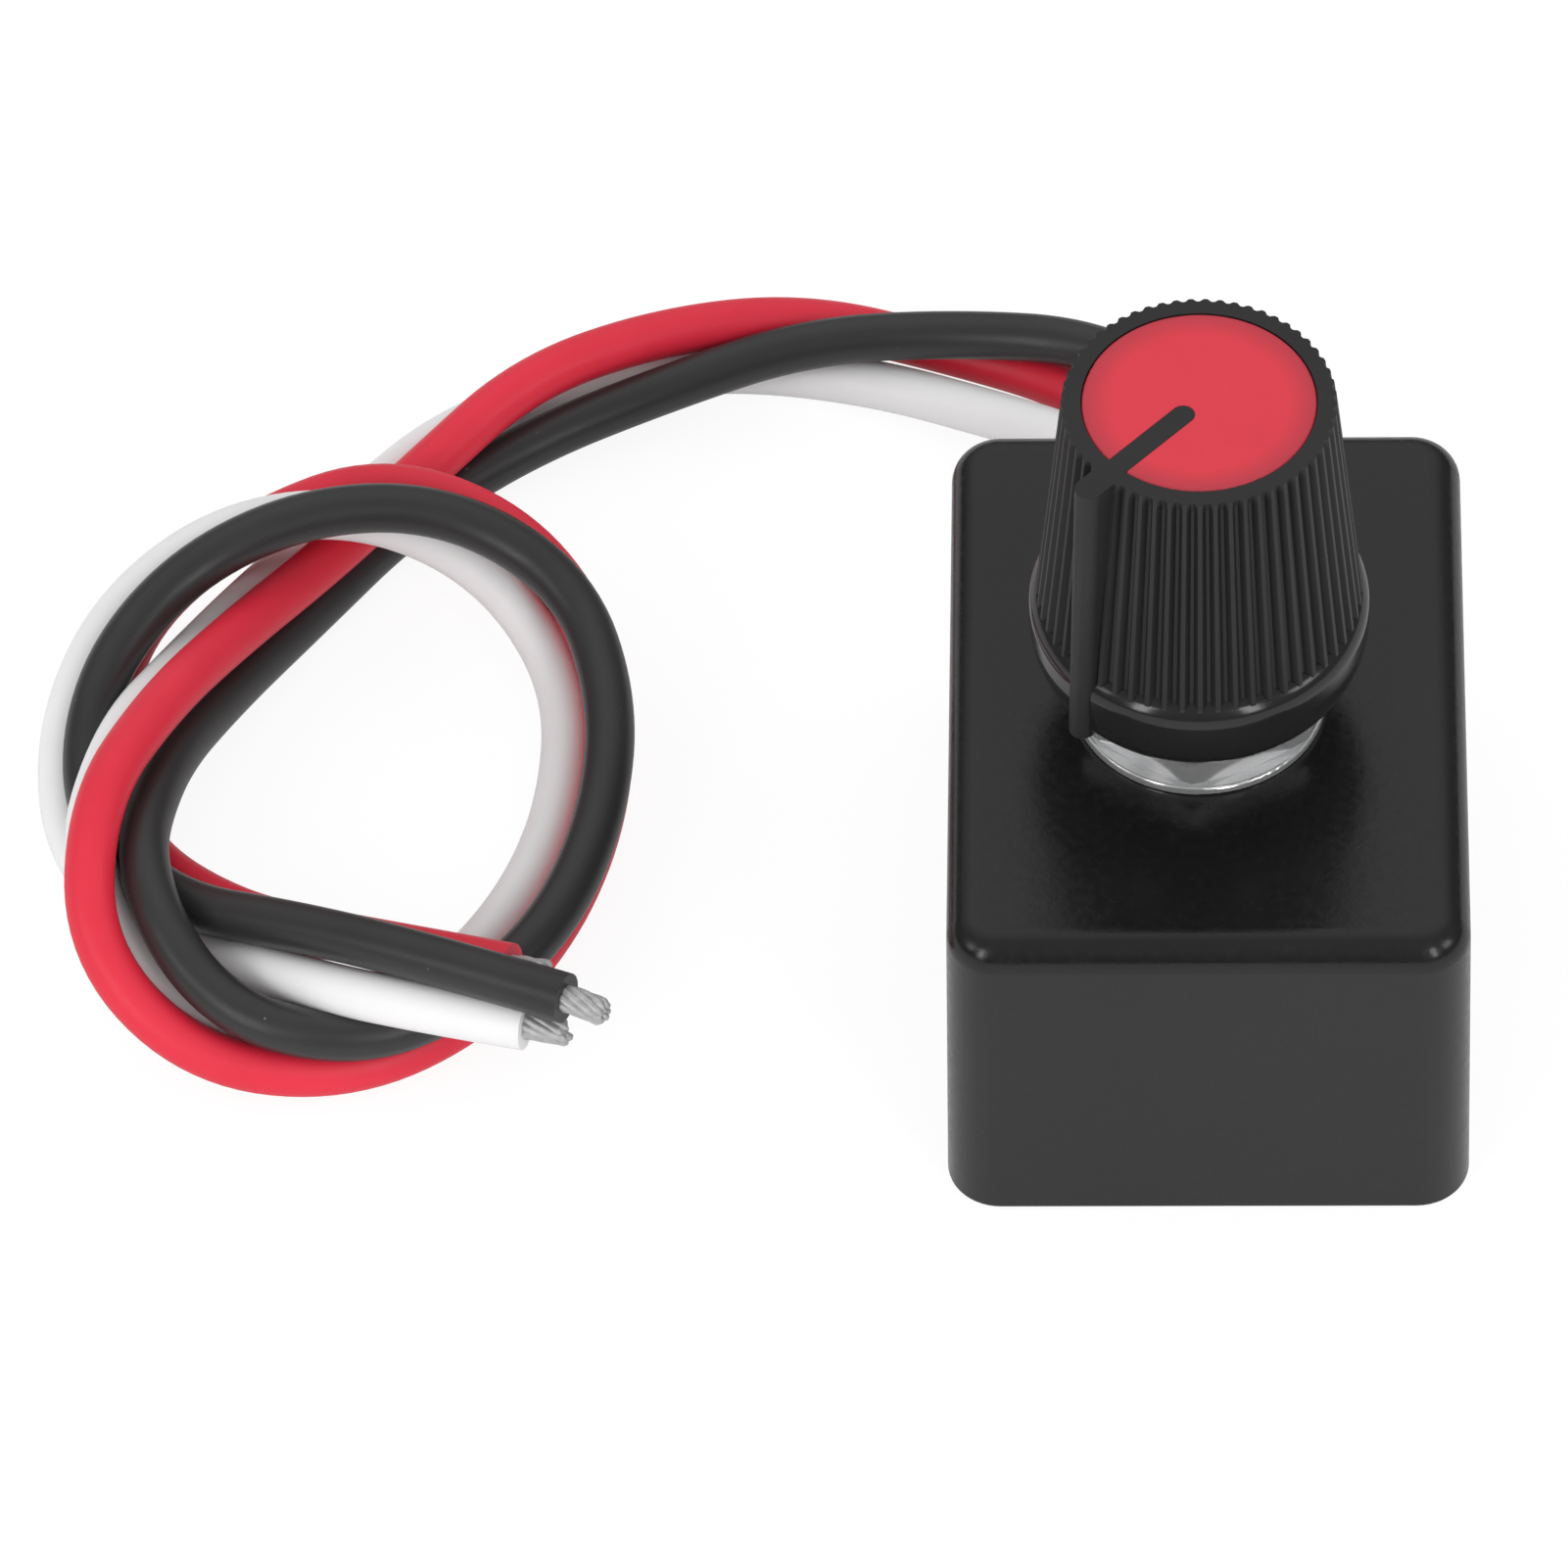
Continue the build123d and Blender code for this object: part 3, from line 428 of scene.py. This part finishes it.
def knob_material():
    # Matt ribs above, polished foot below, told apart by the distance from the bulge's arc
    material, tree, shader = new_material("knob_plastic")
    coords = object_coords(tree)
    radius, height = around_knob(tree, coords)
    dr = math_node(tree, "SUBTRACT", radius, BULGE_CENTRE_R)
    dz = math_node(tree, "MAXIMUM", math_node(tree, "SUBTRACT", height, BULGE_CENTRE_Z), 0.0)
    reach = root_of_squares(tree, dr, dz)
    ribbed = remap(tree, reach, BULGE_ARC_R + POLISH_ENDS, BULGE_ARC_R + MATT_STARTS, 0.0, 1.0)
    broad = noise_value(tree, coords, scale=160, detail=4, rough=0.6)
    fine = noise_value(tree, coords, scale=7000, detail=2, rough=0.6)
    colour = two_tones(tree, broad, (0.012, 0.012, 0.0123), (0.016, 0.016, 0.0163))
    tree.links.new(colour, shader.inputs["Base Color"])
    tree.links.new(remap(tree, ribbed, 0.0, 1.0, 0.16, 0.5), shader.inputs["Roughness"])
    bump(tree, shader, [(math_node(tree, "MULTIPLY", fine, ribbed), 0.25, 0.02 * MM)])
    return material


def cap_material():
    material, tree, shader = new_material("cap_plastic")
    coords = object_coords(tree)
    radius, _ = around_knob(tree, coords)
    # Painted shade: the red is darkened towards the cap's rounded rim, where the curving edge turns away
    # from the light
    rim_shade = remap(tree, radius, *CAP_RIM_SHADE, 0.0, 1.0)
    cloud = noise_value(tree, coords, scale=260, detail=3, rough=0.5)
    fine = noise_value(tree, coords, scale=4500, detail=2, rough=0.5)
    colour = two_tones(tree, cloud, (0.66, 0.026, 0.048), (0.70, 0.030, 0.055))
    tree.links.new(mix_colour(tree, rim_shade, colour, (0.43, 0.026, 0.046)), shader.inputs["Base Color"])
    tree.links.new(remap(tree, fine, *NOISE_SPAN, 0.38, 0.5), shader.inputs["Roughness"])
    shader.inputs["Subsurface Weight"].default_value = 0.2
    shader.inputs["Subsurface Radius"].default_value = (0.6 * MM, 0.2 * MM, 0.2 * MM)
    shader.inputs["Subsurface Scale"].default_value = 1.0
    bump(tree, shader, [(fine, 0.1, 0.01 * MM)])
    return material


def dress(node, material):
    obj = nodes[node]
    obj.data.materials.clear()
    obj.data.materials.append(material)


def dress_all():
    dress("housing", housing_material())
    dress("base_cover", grained_plastic("cover_plastic", (0.02, 0.02, 0.021), (0.028, 0.028, 0.029)))
    dress("knob", knob_material())
    dress("knob_cap", cap_material())
    zinc = plain_metal("zinc_plate", (0.86, 0.87, 0.88), (0.94, 0.94, 0.94), rough=(0.12, 0.2),
                       scale=500, strength=0.04, metallic=0.8)
    for node in ("washer", "hex_nut", "bush_plate"):
        dress(node, zinc)
    steel = plain_metal("dark_spring_steel", (0.2, 0.2, 0.21), (0.35, 0.35, 0.36), rough=(0.3, 0.45))
    dress("shaft_clip", steel)
    tinplate = plain_metal("tin_plate", (0.5, 0.5, 0.5), (0.72, 0.72, 0.71), rough=(0.25, 0.4), scale=350)
    for node in ("pot_can", "terminal_low", "terminal_wiper", "terminal_high", "mosfet_tab", "chip_pins"):
        dress(node, tinplate)
    dress("pot_shaft", plain_metal("turned_aluminium", (0.66, 0.66, 0.66), (0.8, 0.8, 0.8),
                                   stretch=(1, 1, 9)))
    dress("electrolytic_capacitor", plain_metal("drawn_aluminium", (0.6, 0.6, 0.62), (0.78, 0.78, 0.79)))
    dress("wiper_contact", plain_metal("spring_brass", (0.6, 0.42, 0.16), (0.82, 0.62, 0.3)))
    dress("pot_wafer", grained_plastic("paper_resin", (0.3, 0.16, 0.06), (0.45, 0.27, 0.12),
                                       rough=(0.45, 0.6)))
    dress("pot_rotor", grained_plastic("rotor_plastic", (0.08, 0.08, 0.085), (0.12, 0.12, 0.125)))
    dress("resistive_track", grained_plastic("carbon_print", (0.02, 0.02, 0.02), (0.035, 0.035, 0.035),
                                             rough=(0.5, 0.65)))
    dress("collector_ring", plain_metal("silver_print", (0.6, 0.58, 0.54), (0.76, 0.74, 0.7),
                                        rough=(0.35, 0.5)))
    dress("circuit_board", grained_plastic("solder_mask", (0.015, 0.15, 0.06), (0.03, 0.22, 0.1),
                                           rough=(0.2, 0.32), grain=0.5 * MM))
    moulded = grained_plastic("chip_plastic", (0.012, 0.012, 0.013), (0.022, 0.022, 0.023),
                              rough=(0.5, 0.65))
    for node in ("mosfet_body", "timer_chip", "diode", "capacitor_feet"):
        dress(node, moulded)
    glaze = grained_plastic("resistor_glaze", (0.015, 0.015, 0.016), (0.03, 0.03, 0.03), rough=(0.2, 0.3))
    fired = grained_plastic("fired_ceramic", (0.36, 0.24, 0.13), (0.5, 0.36, 0.22), rough=(0.5, 0.6))
    for node in nodes:
        if node.startswith("resistor_"):
            dress(node, glaze)
        if node.startswith("ceramic_"):
            dress(node, fired)
    solder = plain_metal("solder", (0.55, 0.55, 0.56), (0.75, 0.75, 0.76), rough=(0.12, 0.25), scale=900)
    for colour in ("red", "black", "white"):
        dress(f"{colour}_joint", solder)
    dress("strain_bead", grained_plastic("hot_melt_glue", (0.66, 0.62, 0.48), (0.76, 0.73, 0.6),
                                         rough=(0.2, 0.35)))


# Floor: white paper that also glows a little, more to the eye than in a shiny surface

FLOOR_HALF = 4.0
FLOOR_DROP = 0.02 * MM
GLOW_SHARE = 0.85
GLOW_SEEN = 1.05
GLOW_MIRRORED = 0.66


def make_floor():
    corners = [(-FLOOR_HALF, -FLOOR_HALF, 0), (FLOOR_HALF, -FLOOR_HALF, 0),
               (FLOOR_HALF, FLOOR_HALF, 0), (-FLOOR_HALF, FLOOR_HALF, 0)]
    mesh = bpy.data.meshes.new("floor")
    mesh.from_pydata(corners, [], [(0, 1, 2, 3)])
    floor = bpy.data.objects.new("floor", mesh)
    floor.location.z = -FLOOR_DROP
    bpy.context.scene.collection.objects.link(floor)
    material, tree, shader = new_material("floor_paper")
    cloud = noise_value(tree, object_coords(tree), scale=40, detail=3)
    colour = two_tones(tree, cloud, (0.93, 0.93, 0.935), (0.95, 0.95, 0.955), span=(0.2, 0.8))
    tree.links.new(colour, shader.inputs["Base Color"])
    shader.inputs["Roughness"].default_value = 0.9
    shader.inputs["Specular IOR Level"].default_value = 0.0
    paths = add(tree, "ShaderNodeLightPath")
    glow = add(tree, "ShaderNodeEmission")
    mixer = add(tree, "ShaderNodeMixShader")
    mirrored = paths.outputs["Is Glossy Ray"]
    seen = math_node(tree, "MAXIMUM", paths.outputs["Is Camera Ray"],
                     math_node(tree, "MAXIMUM", mirrored, paths.outputs["Is Transmission Ray"]))
    strength = remap(tree, mirrored, 0.0, 1.0, GLOW_SEEN, GLOW_MIRRORED)
    tree.links.new(strength, glow.inputs["Strength"])
    tree.links.new(math_node(tree, "MULTIPLY", seen, GLOW_SHARE), mixer.inputs[0])
    tree.links.new(shader.outputs[0], mixer.inputs[1])
    tree.links.new(glow.outputs[0], mixer.inputs[2])
    tree.links.new(mixer.outputs[0], tree.nodes["Material Output"].inputs["Surface"])
    floor.data.materials.append(material)


# Background and lamps

WHITE = (1, 1, 1, 1)
ROOM_LEVEL = 0.88
SEEN_LEVEL = 1.0
TENT_LOW = 0.07
TENT_HIGH = 0.38
PANEL_TOWARD = (-0.12, 0.63, 0.767)
PANEL_EDGE = (0.68, 0.97)
PANEL_LEVEL = 0.42
LAMP_AIM = Vector((-0.01, 0.0, 0.015))
LAMP_DISTANCE = 0.7

# Name, azimuth (0 is the front, 90 the right), elevation, width and height in metres, watts
LAMPS = [
    ("front_left_window", -34, 27, 0.11, 0.36, 0.8),
    ("front_right_window", 32, 29, 0.11, 0.36, 0.75),
    ("left_softbox", -65, 30, 0.20, 0.20, 0.3),
    ("right_softbox", 68, 30, 0.20, 0.20, 0.45),
]


def softbox(name, azimuth, elevation, width, height, power):
    data = bpy.data.lights.new(name, "AREA")
    data.shape = "RECTANGLE"
    data.size = width
    data.size_y = height
    data.energy = power
    lamp = bpy.data.objects.new(name, data)
    a = math.radians(azimuth)
    e = math.radians(elevation)
    outward = Vector((math.sin(a) * math.cos(e), -math.cos(a) * math.cos(e), math.sin(e)))
    place = LAMP_AIM + LAMP_DISTANCE * outward
    lamp.location = place
    lamp.rotation_euler = (LAMP_AIM - place).to_track_quat("-Z", "Y").to_euler()
    bpy.context.scene.collection.objects.link(lamp)


def tent_level(tree):
    # A light tent: shiny surfaces see it dim low down and bright above the back
    toward = add(tree, "ShaderNodeTexCoord").outputs["Generated"]
    split = add(tree, "ShaderNodeSeparateXYZ")
    tree.links.new(toward, split.inputs[0])
    panel = add(tree, "ShaderNodeVectorMath", operation="DOT_PRODUCT")
    tree.links.new(toward, panel.inputs[0])
    panel.inputs[1].default_value = PANEL_TOWARD
    upward = remap(tree, split.outputs["Z"], 0.0, 1.0, TENT_LOW, TENT_HIGH)
    panel_part = remap(tree, panel.outputs["Value"], *PANEL_EDGE, 0.0, PANEL_LEVEL)
    return math_node(tree, "ADD", upward, panel_part)


def make_light():
    world = bpy.data.worlds.new("studio")
    bpy.context.scene.world = world
    world.use_nodes = True
    tree = world.node_tree
    paths = add(tree, "ShaderNodeLightPath")
    level = add(tree, "ShaderNodeMix", data_type="FLOAT")
    tree.links.new(paths.outputs["Is Glossy Ray"], level.inputs["Factor"])
    level.inputs[2].default_value = ROOM_LEVEL
    tree.links.new(tent_level(tree), level.inputs[3])
    room = tree.nodes["Background"]
    room.inputs["Color"].default_value = WHITE
    tree.links.new(level.outputs[0], room.inputs["Strength"])
    seen_background = add(tree, "ShaderNodeBackground")
    seen_background.inputs["Color"].default_value = WHITE
    seen_background.inputs["Strength"].default_value = SEEN_LEVEL
    mixer = add(tree, "ShaderNodeMixShader")
    seen = math_node(tree, "MAXIMUM", paths.outputs["Is Camera Ray"], paths.outputs["Is Transmission Ray"])
    tree.links.new(seen, mixer.inputs[0])
    tree.links.new(room.outputs[0], mixer.inputs[1])
    tree.links.new(seen_background.outputs[0], mixer.inputs[2])
    tree.links.new(mixer.outputs[0], tree.nodes["World Output"].inputs["Surface"])
    for lamp in LAMPS:
        softbox(*lamp)


make_camera()
make_leads()
dress_all()
make_floor()
make_light()
scene = bpy.context.scene
scene.view_settings.view_transform = "Standard"

bpy.context.view_layer.update()
